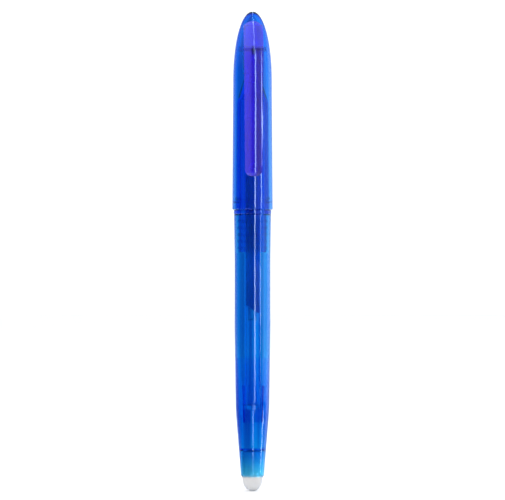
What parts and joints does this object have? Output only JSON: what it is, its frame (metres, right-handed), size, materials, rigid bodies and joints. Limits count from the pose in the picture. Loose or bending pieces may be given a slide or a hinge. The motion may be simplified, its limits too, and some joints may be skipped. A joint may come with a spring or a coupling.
{
  "type": "fabric marking pen",
  "caption": "Capped fabric marking pen with heat-erasable gel ink: clear blue barrel and cap, sprung pocket clip, replaceable refill and a rubber eraser in the barrel's end.",
  "frame": {"origin": "crown of the eraser, on the pen's axis, so the pen stands cap up on the origin", "axes": "+Z along the pen from the eraser up to the cap's dome; -Y towards the pocket clip; +X to the right when the clip faces the viewer"},
  "size_m": [0.0126, 0.015, 0.15],
  "materials": {
    "clear_blue_barrel": "polished transparent blue moulding",
    "clear_blue_section": "polished transparent blue moulding",
    "clear_blue_cap": "polished transparent blue moulding",
    "clip_violet": "polished transparent violet-blue moulding",
    "eraser_rubber": "satin translucent white rubber",
    "refill_tube_plastic": "drawn translucent tube",
    "tail_plug_plastic": "moulded natural plastic",
    "follower_grease": "clear grease",
    "ink": "dark blue gel ink",
    "tip_holder_plastic": "moulded natural plastic",
    "tip_metal": "turned nickel silver",
    "spring_wire": "drawn wire",
    "ball_carbide": "polished carbide",
    "seal_plastic": "soft translucent plastic",
    "seal_rubber": "soft white elastomer"
  },
  "bodies": {
    "barrel": {"barrel_shell": "clear_blue_barrel", "eraser_tip": "eraser_rubber"},
    "front_section": {"front_section": "clear_blue_section"},
    "refill": {"refill_tube": "refill_tube_plastic", "refill_tail_plug": "tail_plug_plastic", "follower_grease": "follower_grease", "ink_column": "ink", "tip_holder": "tip_holder_plastic", "tip_cone": "tip_metal", "ball_spring": "spring_wire", "writing_ball": "ball_carbide"},
    "cap": {"cap_shell": "clear_blue_cap", "cap_inner_seal": "seal_plastic", "cap_tip_seal": "seal_rubber"},
    "clip": {"pocket_clip": "clip_violet"}
  },
  "joints": [
    {"name": "section_pull", "type": "slide", "parent": "barrel", "child": "front_section", "axis": [0, 0, 1], "range_m": [0, 0.013]},
    {"name": "cap_pull", "type": "slide", "parent": "front_section", "child": "cap", "axis": [0, 0, 1], "range_m": [0, 0.052]},
    {"name": "clip_flex", "type": "hinge", "parent": "cap", "child": "clip", "pos_m": [0, -0.00335, 0.1469], "axis": [-1, 0, 0], "range_deg": [0, 3], "stiffness_Nm_per_rad": 0.05, "springref_deg": -2.86},
    {"name": "refill_play", "type": "slide", "parent": "front_section", "child": "refill", "axis": [0, 0, 1], "range_m": [0, 0.0002]}
  ]
}
